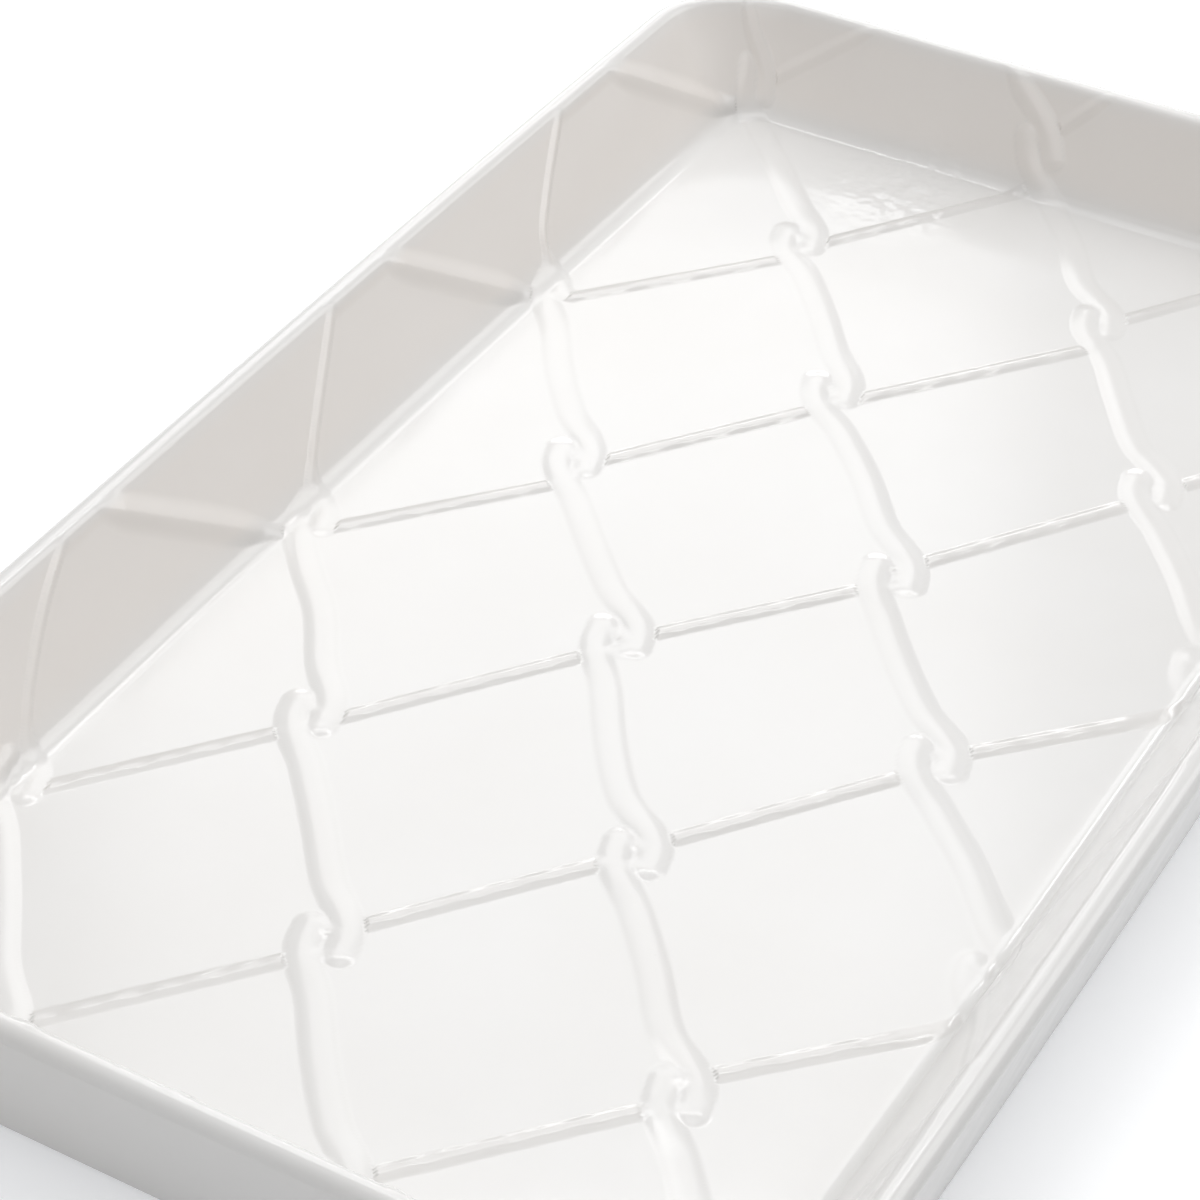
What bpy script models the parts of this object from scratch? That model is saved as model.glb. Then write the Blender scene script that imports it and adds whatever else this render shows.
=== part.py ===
"""Towel tray of glazed ceramic, with a raised chain link mesh over its floor and inner walls.

Metres, +Z up. The origin is the middle of the underside, on the plane that the tray stands on.
+Y is the tray's far end and +X its right side. The seven wires of the mesh run from the near end
to the far end, each a zigzag that hooks round its two neighbours.
"""

import math

import bmesh
import bpy
from mathutils import Vector

# Tray
FLOOR_LENGTH = 0.2170
FLOOR_WIDTH = 0.1133
FLOOR_HEIGHT = 0.0062
WALL_RISE = 0.0164
SIDE_WALL_RUN = 0.0095
END_WALL_RUN = 0.0063
RIM_WIDTH = 0.0032
OUTER_DRAFT = 0.0055
SIDE_BOW = 0.00125
FLOOR_CORNER_RADIUS = 0.0060

# Rounded edges of the tray's section
CREASE_RADIUS = 0.0032
RIM_INNER_RADIUS = 0.0008
RIM_OUTER_RADIUS = 0.0011
FOOT_EDGE_RADIUS = 0.0007
RECESS_EDGE_RADIUS = 0.0010

# Underside, which stands on a foot round a shallow recess
FOOT_WIDTH = 0.0065
RECESS_DEPTH = 0.0018
RECESS_DRAFT = 0.0012

# Mesh of the relief
CELL_LENGTH = 0.0626
HALF_CELLS_ACROSS = 5
FAR_SHIFT = 0.0122
HOOK_OVERLAP = 0.0066
HOOK_BEND_RADIUS = 0.0021
RIM_TURN_LENGTH = 0.0070
RIM_TURN_DROP = 0.0012
END_OVERRUN = 0.0120

# Wire of the mesh, half sunk in the tray: its radius and how high its middle lies over the surface
FRONT_RADIUS = 0.0022
CROSSING_RADIUS = 0.0020
HOOK_RADIUS = 0.0019
BACK_RADIUS = 0.00165
FRONT_LIFT = 0.0003
CROSSING_LIFT = 0.0005
HOOK_LIFT = 0.0002
HOOK_END_LIFT = -0.0005
UNDERPASS_LIFT = -0.00065
BACK_LIFT = -0.00045
RISE_LENGTH = 0.0027
SWAY = 0.0009

# Fits
SEAT_GAP = 0.0003
CROSSING_GAP = 0.0003
SWAY_ALLOWANCE = 0.0003

# How far each crossing strays from the even mesh, as shares of a cell across and of a cell along.
# The first number of a key counts cells from the near end, the second from the left wall's foot.
STRAY_SHARES = {
    (0, 0): (0.00, 0.05),
    (1, 0): (0.03, 0.02),
    (2, 0): (0.01, 0.03),
    (3, 0): (0.02, 0.00),
    (0.5, 0.5): (0.02, 0.00),
    (1.5, 0.5): (0.04, -0.02),
    (2.5, 0.5): (0.05, -0.02),
    (0, 1): (0.03, -0.01),
    (1, 1): (0.05, 0.00),
    (2, 1): (0.02, -0.02),
    (3, 1): (0.06, 0.04),
    (0.5, 1.5): (0.03, -0.03),
    (1.5, 1.5): (0.08, -0.04),
    (2.5, 1.5): (0.07, 0.02),
    (0, 2): (0.04, -0.02),
    (1, 2): (0.02, -0.01),
    (2, 2): (0.05, 0.00),
}

# Fineness
WELD_DISTANCE = 0.00002
CORNER_STEPS = 8
SIDE_STEPS = 8
EDGE_STEPS = 2
CREASE_STEPS = 4
BEND_STEPS = 3
WIRE_STEPS = 6
SPAN_STEPS = 2
STATION_SPACING = 0.0002

# Half cells along the tray, counted from the near end of the mesh, that a wire can turn at
FIRST_HALF_STEP = -3
LAST_HALF_STEP = 8

# Sizes worked out from the ones above
RIM_HEIGHT = FLOOR_HEIGHT + WALL_RISE
HALF_WIDTH = FLOOR_WIDTH / 2
HALF_LENGTH = FLOOR_LENGTH / 2
CELL_WIDTH = 2 * FLOOR_WIDTH / HALF_CELLS_ACROSS
SIDE_SLANT = math.hypot(WALL_RISE, SIDE_WALL_RUN)
END_SLANT = math.hypot(WALL_RISE, END_WALL_RUN)
WIRE_COUNT = HALF_CELLS_ACROSS + 2
BRIDGE_HEIGHT = UNDERPASS_LIFT + BACK_RADIUS + CROSSING_GAP
UNDERPASS_HALF_WIDTH = math.sqrt(BACK_RADIUS ** 2 - (SEAT_GAP - UNDERPASS_LIFT) ** 2)
BRIDGE_STEP = SEAT_GAP

CERAMIC_COLOUR = (0.83, 0.81, 0.78, 1.0)
CERAMIC_ROUGHNESS = 0.12


def ceramic(name):
    """White glazed ceramic."""
    material = bpy.data.materials.new(name)
    material.use_nodes = True
    shader = material.node_tree.nodes["Principled BSDF"]
    shader.inputs["Base Color"].default_value = CERAMIC_COLOUR
    shader.inputs["Roughness"].default_value = CERAMIC_ROUGHNESS
    shader.inputs["Metallic"].default_value = 0
    return material


def bowed(x, y):
    """A place after the long sides have bowed out, most at their middle."""
    half_width = HALF_WIDTH + SIDE_WALL_RUN + RIM_WIDTH
    half_length = HALF_LENGTH + END_WALL_RUN + RIM_WIDTH
    share = max(0, 1 - (y / half_length) ** 2)
    return x * (1 + SIDE_BOW / half_width * share), y


def corner_arc(before, corner, after, radius, steps):
    """The arc that rounds a corner of a flat outline, as a list of places and the ways on from them."""
    corner = Vector(corner)
    back = (Vector(before) - corner).normalized()
    on = (Vector(after) - corner).normalized()
    half_angle = back.angle(on) / 2
    middle = corner + (back + on).normalized() * radius / math.sin(half_angle)
    first = corner + back * radius / math.tan(half_angle) - middle
    last = corner + on * radius / math.tan(half_angle) - middle
    turn = first.angle(last)
    found = []
    for step in range(steps + 1):
        done = turn * step / steps
        left = turn - done
        place = middle + (first * math.sin(left) + last * math.sin(done)) / math.sin(turn)
        way = last * math.cos(done) - first * math.cos(left)
        found.append((place, way.normalized()))
    return found


def rounded_outline(corners):
    """An open outline whose inner corners are rounded: each is a place, a radius and a step count."""
    points = [Vector(corners[0][0])]
    for before, here, after in zip(corners, corners[1:], corners[2:]):
        arc = corner_arc(before[0], here[0], after[0], here[1], here[2])
        points += [place for place, way in arc]
    points.append(Vector(corners[-1][0]))
    return points


def tray_section(wall_run):
    """The tray's section at one wall, from the recess under it over the rim to the floor.

    The first number of a place is its distance out from the foot of the inner wall.
    """
    rim_outer = wall_run + RIM_WIDTH
    foot_outer = rim_outer - OUTER_DRAFT
    foot_inner = foot_outer - FOOT_WIDTH
    recess_edge = foot_inner - RECESS_DRAFT
    return rounded_outline([
        ((-FLOOR_CORNER_RADIUS, RECESS_DEPTH), 0, 0),
        ((recess_edge, RECESS_DEPTH), RECESS_EDGE_RADIUS, EDGE_STEPS),
        ((foot_inner, 0), FOOT_EDGE_RADIUS, EDGE_STEPS),
        ((foot_outer, 0), FOOT_EDGE_RADIUS, EDGE_STEPS),
        ((rim_outer, RIM_HEIGHT), RIM_OUTER_RADIUS, EDGE_STEPS + 1),
        ((wall_run, RIM_HEIGHT), RIM_INNER_RADIUS, EDGE_STEPS),
        ((0, FLOOR_HEIGHT), CREASE_RADIUS, CREASE_STEPS),
        ((-FLOOR_CORNER_RADIUS, FLOOR_HEIGHT), 0, 0),
    ])


def ring(side_point, end_point):
    """One turn round the tray, through a place of the side walls' section and one of the end walls'."""
    middle_x = HALF_WIDTH - FLOOR_CORNER_RADIUS
    middle_y = HALF_LENGTH - FLOOR_CORNER_RADIUS
    radius_x = FLOOR_CORNER_RADIUS + side_point[0]
    radius_y = FLOOR_CORNER_RADIUS + end_point[0]
    quarter = []
    for step in range(CORNER_STEPS + 1):
        angle = math.pi / 2 * step / CORNER_STEPS
        x = middle_x + radius_x * math.cos(angle)
        y = middle_y + radius_y * math.sin(angle)
        share = math.sin(angle) ** 2
        z = side_point[1] * (1 - share) + end_point[1] * share
        quarter.append((x, y, z))
    half = quarter + [(-x, y, z) for x, y, z in reversed(quarter)]
    side_end = half[-1]
    for step in range(1, SIDE_STEPS):
        y = side_end[1] * (1 - 2 * step / SIDE_STEPS)
        half.append((side_end[0], y, side_end[2]))
    points = half + [(-x, -y, z) for x, y, z in half]
    return [(*bowed(x, y), z) for x, y, z in points]


def lofted(name, side_section, end_section):
    """A closed solid lofted through the rings of two sections and capped at its first and last ring."""
    shape = bmesh.new()
    rings = []
    for side_point, end_point in zip(side_section, end_section):
        rings.append([shape.verts.new(place) for place in ring(side_point, end_point)])
    for low, high in zip(rings, rings[1:]):
        for k in range(len(low)):
            after = (k + 1) % len(low)
            shape.faces.new((low[k], low[after], high[after], high[k]))
    shape.faces.new(rings[0])
    shape.faces.new(rings[-1])
    bmesh.ops.remove_doubles(shape, verts=shape.verts, dist=WELD_DISTANCE)
    bmesh.ops.recalc_face_normals(shape, faces=shape.faces)
    mesh = bpy.data.meshes.new(name)
    shape.to_mesh(mesh)
    shape.free()
    return mesh


def solid_object(name, mesh, collection):
    """A visible piece in its own material."""
    piece = bpy.data.objects.new(name, mesh)
    collection.objects.link(piece)
    mesh.materials.append(ceramic(name + "_glaze"))
    mesh.shade_smooth()
    mesh.set_sharp_from_angle(angle=math.radians(40))
    return piece


def wall_place(beyond, wall_run):
    """Where a distance past the foot of a wall lies on its section, over a rounded crease.

    Gives how far out and how high the place is, and how far the surface has turned up there.
    """
    slope = math.atan2(WALL_RISE, wall_run)
    reach = crease_reach(wall_run)
    if beyond <= -reach:
        return beyond, 0, 0
    if beyond >= reach:
        return beyond * math.cos(slope), beyond * math.sin(slope), slope
    angle = slope * (beyond + reach) / (2 * reach)
    out = -reach + CREASE_RADIUS * math.sin(angle)
    return out, CREASE_RADIUS * (1 - math.cos(angle)), angle


def crease_reach(wall_run):
    """How far a rounded crease reaches to either side of a wall's foot."""
    return CREASE_RADIUS * math.tan(math.atan2(WALL_RISE, wall_run) / 2)


def on_surface(x, y, lift):
    """A place at a height over the floor and walls, from its place with them laid flat.

    Round a corner of the tray the walls are laid out like a fan about the corner's middle.
    """
    middle = Vector((HALF_WIDTH - FLOOR_CORNER_RADIUS, HALF_LENGTH - FLOOR_CORNER_RADIUS))
    from_middle = Vector((max(0, abs(x) - middle.x), max(0, abs(y) - middle.y)))
    distance = from_middle.length
    if distance == 0:
        return Vector((*bowed(x, y), FLOOR_HEIGHT + lift))
    way = from_middle / distance
    end_share = way.y ** 2
    slant = SIDE_SLANT * (1 - end_share) + END_SLANT * end_share
    wall_share = (distance - FLOOR_CORNER_RADIUS) / slant
    side_out, side_rise, side_angle = wall_place(wall_share * SIDE_SLANT, SIDE_WALL_RUN)
    end_out, end_rise, end_angle = wall_place(wall_share * END_SLANT, END_WALL_RUN)
    reach_x = FLOOR_CORNER_RADIUS + side_out - math.sin(side_angle) * lift
    reach_y = FLOOR_CORNER_RADIUS + end_out - math.sin(end_angle) * lift
    flat_x = math.copysign(min(abs(x), middle.x) + way.x * reach_x, x)
    flat_y = math.copysign(min(abs(y), middle.y) + way.y * reach_y, y)
    side_height = side_rise + math.cos(side_angle) * lift
    end_height = end_rise + math.cos(end_angle) * lift
    height = side_height * (1 - end_share) + end_height * end_share
    return Vector((*bowed(flat_x, flat_y), FLOOR_HEIGHT + height))


def is_right_turn(wire, half_step):
    """Whether a wire turns at its right hand edge at this half cell along the tray."""
    return (half_step + wire) % 2 == 0


def neighbour(wire, half_step):
    """The wire that hooks into this one at its turn."""
    return wire + 1 if is_right_turn(wire, half_step) else wire - 1


def at_rim(wire, half_step):
    """Whether a turn lies at the rim, where no neighbour hooks in."""
    return not 0 <= neighbour(wire, half_step) < WIRE_COUNT


def turn_place(wire, half_step, side):
    """Place of a wire's turn with the surface laid flat.

    A turn at the rim runs along it, from its side -1 to its side 1.
    """
    right = is_right_turn(wire, half_step)
    across = (wire if right else wire - 1) / 2
    along = half_step / 2
    stray_across, stray_along = STRAY_SHARES.get((along, across), (0, 0))
    x = (across + stray_across) * CELL_WIDTH - HALF_WIDTH
    y = (along - 1 + stray_along) * CELL_LENGTH - FAR_SHIFT
    hand = 1 if right else -1
    if at_rim(wire, half_step):
        x = hand * (HALF_WIDTH + SIDE_SLANT - RIM_TURN_DROP)
        return Vector((x, y + side * RIM_TURN_LENGTH / 2))
    return Vector((x + hand * HOOK_OVERLAP / 2, y))


def run_ends(wire, half_step, next_step):
    """Both ends of the run between two turns of a wire."""
    side = 1 if next_step > half_step else -1
    return turn_place(wire, half_step, side), turn_place(wire, next_step, -side)


def crossing_place(wire, half_step, next_step):
    """Where a run crosses the neighbour's run that leaves the same hook.

    Gives its distance from the hook, and how far a bridge over the other run reaches both ways.
    """
    start, end = run_ends(wire, half_step, next_step)
    other_start, other_end = run_ends(neighbour(wire, half_step), half_step, next_step)
    way = (end - start).normalized()
    other_way = (other_end - other_start).normalized()
    sine = way.cross(other_way)
    clear_width = UNDERPASS_HALF_WIDTH + CROSSING_GAP + CROSSING_RADIUS * abs(way.dot(other_way))
    reach = clear_width / abs(sine) + SWAY_ALLOWANCE
    return (other_start - start).cross(other_way) / sine, reach


def between(knots, distance):
    """The sizes at a distance, from a list of distances with their sizes."""
    if distance <= knots[0][0]:
        return knots[0][1:]
    for low, high in zip(knots, knots[1:]):
        if distance < high[0]:
            share = (distance - low[0]) / (high[0] - low[0])
            return [a + (b - a) * share for a, b in zip(low[1:], high[1:])]
    return knots[-1][1:]


def run_knots(is_front, crossing, reach):
    """Radius, lift and underside of a run at its distances from a hook, past one crossing."""
    if is_front:
        return [
            (crossing - reach - BRIDGE_STEP, CROSSING_RADIUS, CROSSING_LIFT, SEAT_GAP),
            (crossing - reach, CROSSING_RADIUS, CROSSING_LIFT, BRIDGE_HEIGHT),
            (crossing + reach, CROSSING_RADIUS, CROSSING_LIFT, BRIDGE_HEIGHT),
            (crossing + reach + BRIDGE_STEP, CROSSING_RADIUS, CROSSING_LIFT, SEAT_GAP),
            (crossing + reach + RISE_LENGTH, FRONT_RADIUS, FRONT_LIFT, SEAT_GAP),
        ]
    return [
        (crossing - FRONT_RADIUS, BACK_RADIUS, UNDERPASS_LIFT, SEAT_GAP),
        (crossing + FRONT_RADIUS, BACK_RADIUS, UNDERPASS_LIFT, SEAT_GAP),
        (crossing + FRONT_RADIUS + RISE_LENGTH, BACK_RADIUS, BACK_LIFT, SEAT_GAP),
    ]


def crease_distances(start, end):
    """Distances along a run at which it meets the rounded foot of a wall."""
    length = (end - start).length
    way = (end - start) / length
    found = []
    for axis, half, wall_run in ((0, HALF_WIDTH, SIDE_WALL_RUN), (1, HALF_LENGTH, END_WALL_RUN)):
        reach = crease_reach(wall_run)
        for level in (half - reach, half, half + reach):
            for place in (-level, level):
                found.append((place - start[axis]) / way[axis])
    return [distance for distance in found if 0 < distance < length]


def swayed(share):
    """How far a front run lies to one side at a share of its length, and how fast that changes."""
    turn = 2 * math.pi * share
    rounded = math.sin(turn / 2) ** 2
    rate = math.cos(turn) * rounded + math.sin(turn) ** 2 / 2
    return SWAY * math.sin(turn) * rounded, 2 * math.pi * SWAY * rate


def run_stations(wire, half_step):
    """Stations of a wire from one turn to the next: place, way on, radius, lift and underside."""
    start, end = run_ends(wire, half_step, half_step + 1)
    length = (end - start).length
    way = (end - start) / length
    side = Vector((way.y, -way.x))
    is_front = is_right_turn(wire, half_step)
    knots = []
    for step, other in ((half_step, half_step + 1), (half_step + 1, half_step)):
        if not at_rim(wire, step):
            knots.append(run_knots(is_front, *crossing_place(wire, step, other)))
    distances = [length * k / (SPAN_STEPS + 1) for k in range(1, SPAN_STEPS + 1)]
    if at_rim(wire, half_step):
        clear = (bend_stations(wire, half_step)[-1][0] - start).length + RISE_LENGTH
    else:
        distances += [knot[0] for knot in knots[0]]
        clear = knots[0][0][0]
    if at_rim(wire, half_step + 1):
        far_clear = length - (bend_stations(wire, half_step + 1)[0][0] - end).length - RISE_LENGTH
    else:
        distances += [length - knot[0] for knot in knots[-1]]
        far_clear = length - knots[-1][0][0]
    distances = thinned(distances, crease_distances(start, end), clear, far_clear)
    stations = []
    for distance in distances:
        sizes = between(knots[0], distance)
        if at_rim(wire, half_step) or (len(knots) > 1 and distance > length / 2):
            sizes = between(knots[-1], length - distance)
        sway, rate = swayed((distance - clear) / (far_clear - clear)) if is_front else (0, 0)
        way_on = (way + side * rate / (far_clear - clear)).normalized()
        stations.append((start + way * distance + side * sway, way_on, *sizes))
    return stations


def thinned(distances, creases, first, last):
    """Stations from first to last, with one at each crease and none too close to another."""
    kept = [first]
    for distance in sorted(distances + creases):
        if distance - kept[-1] > STATION_SPACING and last - distance > STATION_SPACING:
            kept.append(distance)
    return kept + [last]


def bend_stations(wire, half_step):
    """Stations round a wire's turn."""
    start, near = run_ends(wire, half_step - 1, half_step)
    far, end = run_ends(wire, half_step, half_step + 1)
    if at_rim(wire, half_step):
        arc = corner_arc(start, near, far, HOOK_BEND_RADIUS, BEND_STEPS)
        arc += corner_arc(near, far, end, HOOK_BEND_RADIUS, BEND_STEPS)
        return [(place, way, BACK_RADIUS, BACK_LIFT, SEAT_GAP) for place, way in arc]
    arc = corner_arc(start, near, end, HOOK_BEND_RADIUS, BEND_STEPS)
    if not is_right_turn(wire, half_step):
        shares = [step / BEND_STEPS for step in range(BEND_STEPS + 1)]
    else:
        shares = [1 - step / BEND_STEPS for step in range(BEND_STEPS + 1)]
    stations = []
    for (place, way), share in zip(arc, shares):
        radius = HOOK_RADIUS + (BACK_RADIUS - HOOK_RADIUS) * share
        lift = HOOK_LIFT + (HOOK_END_LIFT - HOOK_LIFT) * share
        stations.append((place, way, radius, lift, SEAT_GAP))
    return stations


def is_on_tray(wire, half_step):
    """Whether a turn lies on the floor or a wall. One at the rim has to lie clear of the corners."""
    limit = HALF_LENGTH + END_SLANT
    if at_rim(wire, half_step):
        limit = HALF_LENGTH - FLOOR_CORNER_RADIUS
    return abs(turn_place(wire, half_step, 0).y) < limit


def past_end(station, distance):
    """A station straight on past the end of a wire."""
    return (station[0] + station[1] * distance, *station[1:])


def wire_stations(wire):
    """All stations of a wire, from past the near rim to past the far rim."""
    steps = range(FIRST_HALF_STEP, LAST_HALF_STEP + 1)
    on_tray = [step for step in steps if is_on_tray(wire, step)]
    first, last = on_tray[0], on_tray[-1]
    stations = []
    if not at_rim(wire, first):
        stations += run_stations(wire, first - 1)
    for step in range(first, last + 1):
        stations += bend_stations(wire, step)
        if step < last or not at_rim(wire, last):
            stations += run_stations(wire, step)
    limit = HALF_LENGTH + END_SLANT + END_OVERRUN
    kept = [station for station in stations if abs(station[0].y) < limit]
    return [past_end(kept[0], -END_OVERRUN)] + kept + [past_end(kept[-1], END_OVERRUN)]


def wire_section(radius, lift, underside):
    """The part of a round wire above its underside, as places across and up."""
    widest = math.acos((underside - lift) / radius)
    angles = [widest * (1 - 2 * step / WIRE_STEPS) for step in range(WIRE_STEPS + 1)]
    return [(radius * math.sin(angle), lift + radius * math.cos(angle)) for angle in angles]


def wire_mesh(name, stations):
    """A wire lofted through its stations laid flat and wrapped over the floor and walls."""
    shape = bmesh.new()
    rings = []
    for place, way, radius, lift, underside in stations:
        side = Vector((way.y, -way.x))
        section = []
        for across, up in wire_section(radius, lift, underside):
            spot = place + side * across
            section.append(shape.verts.new(on_surface(spot.x, spot.y, up)))
        rings.append(section)
    for low, high in zip(rings, rings[1:]):
        for k in range(len(low)):
            after = (k + 1) % len(low)
            shape.faces.new((low[k], low[after], high[after], high[k]))
    shape.faces.new(rings[0])
    shape.faces.new(rings[-1])
    bmesh.ops.triangulate(shape, faces=shape.faces[:])
    bmesh.ops.bisect_plane(
        shape, geom=shape.verts[:] + shape.edges[:] + shape.faces[:],
        plane_co=(0, 0, RIM_HEIGHT), plane_no=(0, 0, 1), clear_outer=True)
    bmesh.ops.remove_doubles(shape, verts=shape.verts, dist=WELD_DISTANCE)
    open_edges = [edge for edge in shape.edges if edge.is_boundary]
    bmesh.ops.edgeloop_fill(shape, edges=open_edges)
    bmesh.ops.recalc_face_normals(shape, faces=shape.faces)
    mesh = bpy.data.meshes.new(name)
    shape.to_mesh(mesh)
    shape.free()
    return mesh


def main():
    for item in list(bpy.data.objects):
        bpy.data.objects.remove(item)
    tray = bpy.data.collections.new("towel_tray")
    bpy.context.scene.collection.children.link(tray)
    body = lofted("tray_body", tray_section(SIDE_WALL_RUN), tray_section(END_WALL_RUN))
    solid_object("tray_body", body, tray)
    for wire in range(WIRE_COUNT):
        name = "link_wire_%d" % (wire + 1)
        solid_object(name, wire_mesh(name, wire_stations(wire)), tray)


main()
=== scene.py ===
"""Looks of the towel tray: white glazed ceramic, with a raised chain link mesh inside.

Metres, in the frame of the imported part. The tray's body and each of the seven wires of the mesh
are a fine piece of their own, which stands for the CAD node of the same name. The relief is worked
out on a fine grid with the floor and walls laid flat, and wrapped over them.
"""

import math

import bpy
import numpy as np
from mathutils import Matrix, Vector


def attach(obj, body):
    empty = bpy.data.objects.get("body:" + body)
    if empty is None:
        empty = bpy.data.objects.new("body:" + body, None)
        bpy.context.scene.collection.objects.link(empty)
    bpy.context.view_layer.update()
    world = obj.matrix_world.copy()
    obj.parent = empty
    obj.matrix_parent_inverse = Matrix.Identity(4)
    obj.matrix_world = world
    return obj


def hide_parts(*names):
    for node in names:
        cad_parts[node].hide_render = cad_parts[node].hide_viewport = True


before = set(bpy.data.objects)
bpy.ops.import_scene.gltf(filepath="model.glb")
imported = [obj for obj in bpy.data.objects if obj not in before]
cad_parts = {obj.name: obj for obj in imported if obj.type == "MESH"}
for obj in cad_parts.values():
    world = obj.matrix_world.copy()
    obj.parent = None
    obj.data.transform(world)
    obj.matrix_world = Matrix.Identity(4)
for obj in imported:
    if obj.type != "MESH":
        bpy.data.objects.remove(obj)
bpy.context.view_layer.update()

# Tray
FLOOR_LENGTH = 0.2170
FLOOR_WIDTH = 0.1133
FLOOR_HEIGHT = 0.0062
WALL_RISE = 0.0164
SIDE_WALL_RUN = 0.0095
END_WALL_RUN = 0.0063
RIM_WIDTH = 0.0032
OUTER_DRAFT = 0.0055
SIDE_BOW = 0.00125
FLOOR_CORNER_RADIUS = 0.0060
CREASE_RADII = {SIDE_WALL_RUN: 0.0032, END_WALL_RUN: 0.0024}
RIM_INNER_RADIUS = 0.0015
RIM_OUTER_RADIUS = 0.0016
FOOT_EDGE_RADIUS = 0.0007
RECESS_EDGE_RADIUS = 0.0010
FOOT_WIDTH = 0.0065
RECESS_DEPTH = 0.0018
RECESS_DRAFT = 0.0012

# Mesh of the relief
CELL_LENGTH = 0.0626
HALF_CELLS_ACROSS = 5
FAR_SHIFT = 0.0122
RIM_TURN_LENGTH = 0.0070
RIM_TURN_DROP = 0.0006
END_REACH = 0.0026
END_CURL = 0.0009
BACK_START = 0.0015
BACK_END = 0.0040
FIRST_HALF_STEP = -3
LAST_HALF_STEP = 8

# How far a crossing lies off the even pattern, across and along, as shares of a cell. Crossings go
# by their place along and across the pattern, in cells
STRAY_SHARES = {
    (0, 0): (0.00, 0.05),
    (1, 0): (0.03, 0.02),
    (2, 0): (0.01, 0.03),
    (3, 0): (0.02, 0.00),
    (0.5, 0.5): (0.02, 0.00),
    (1.5, 0.5): (0.04, -0.02),
    (2.5, 0.5): (0.05, -0.02),
    (0, 1): (0.03, -0.01),
    (1, 1): (0.05, 0.00),
    (2, 1): (0.02, -0.02),
    (3, 1): (0.06, 0.04),
    (0.5, 1.5): (0.03, -0.03),
    (1.5, 1.5): (0.08, -0.04),
    (2.5, 1.5): (0.07, 0.02),
    (0, 2): (0.04, -0.02),
    (1, 2): (0.02, -0.01),
    (2, 2): (0.05, 0.00),
}

# How far a front run lies aside, to the upper right, of the line from its upper left crossing to
# its lower right one: at that crossing, at each quarter of the way and at the other crossing. Runs
# go by their wire and by the half step of their lower end
FRONT_LINES = {
    (0, 0): (0.0000, -0.0008, -0.0008, 0.0000, 0.0022),
    (0, 2): (0.0000, 0.0000, 0.0000, 0.0003, 0.0022),
    (0, 4): (0.0000, -0.0009, -0.0016, -0.0017, 0.0010),
    (1, 1): (-0.0008, -0.0003, 0.0014, 0.0015, 0.0020),
    (1, 3): (-0.0008, -0.0002, -0.0003, 0.0005, 0.0023),
    (1, 5): (-0.0020, -0.0010, 0.0004, 0.0013, 0.0024),
    (2, 0): (-0.0022, -0.0010, 0.0000, 0.0007, 0.0022),
    (2, 2): (-0.0021, -0.0010, -0.0001, 0.0011, 0.0032),
    (2, 4): (-0.0018, 0.0001, 0.0012, 0.0017, 0.0026),
    (2, 6): (-0.0022, 0.0000, 0.0015, 0.0023, 0.0026),
    (3, -1): (-0.0025, -0.0016, -0.0011, 0.0000, 0.0020),
    (3, 1): (-0.0020, -0.0016, -0.0016, -0.0007, 0.0023),
    (3, 3): (-0.0019, -0.0003, 0.0008, 0.0010, 0.0026),
    (3, 5): (-0.0013, -0.0006, 0.0002, -0.0002, 0.0018),
    (4, 0): (-0.0023, -0.0012, -0.0005, -0.0003, 0.0018),
    (4, 2): (-0.0023, -0.0022, -0.0014, 0.0000, 0.0024),
    (4, 4): (-0.0017, -0.0004, -0.0004, -0.0001, 0.0021),
    (5, 1): (-0.0024, -0.0010, 0.0009, 0.0018, 0.0029),
    (5, 3): (-0.0022, -0.0006, 0.0005, 0.0010, 0.0022),
}
USUAL_FRONT_LINE = (-0.0022, -0.0010, -0.0001, 0.0005, 0.0022)

# How far a back run lies aside, to the upper left, of the line from its lower left crossing to its
# upper right one: at its two ends
BACK_LINES = {
    (1, 0): (-0.0026, -0.0022),
    (1, 2): (-0.0035, -0.0047),
    (1, 4): (-0.0043, -0.0043),
    (1, 6): (-0.0013, -0.0112),
    (2, -1): (-0.0001, -0.0015),
    (2, 1): (-0.0022, -0.0021),
    (2, 3): (-0.0021, -0.0033),
    (2, 5): (-0.0025, -0.0035),
    (3, 0): (0.0006, -0.0002),
    (3, 2): (-0.0012, -0.0014),
    (3, 4): (-0.0034, -0.0052),
    (3, 6): (0.0003, -0.0042),
    (4, -1): (0.0005, -0.0008),
    (4, 1): (0.0004, -0.0013),
    (4, 3): (0.0005, -0.0014),
    (5, 0): (0.0016, -0.0052),
    (5, 2): (-0.0004, -0.0059),
}
USUAL_BACK_LINE = (-0.0010, -0.0020)

# Where the first wire's front run and back run reach the left rim, beside each of its turns there
LEFT_RIM_TURNS = {1: (-0.0467, -0.0393), 3: (0.0125, 0.0252), 5: (0.0712, 0.0850)}

# Ridges of the relief: height, half width at the foot, and power of the section's curve
FRONT_RIDGE = (0.00019, 0.0018, 2.6)
NODE_RIDGE = (0.00029, 0.0019, 2.3)
SIDE_FRONT_RIDGE = (0.00032, 0.0007, 1.6)
END_FRONT_RIDGE = (0.00045, 0.0018, 1.8)
BACK_RIDGE = (0.00030, 0.0012, 2.2)
SIDE_BACK_RIDGE = (0.00060, 0.0022, 1.35)
END_BACK_RIDGE = (0.00040, 0.0011, 1.6)
RIM_TURN_RIDGE = (0.00010, 0.0010, 2.0)
UNDERPASS_RIDGE = (0.00015, 0.0011, 2.0)
FADED_RIDGE = (0.00002, 0.0004, 2.0)

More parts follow.
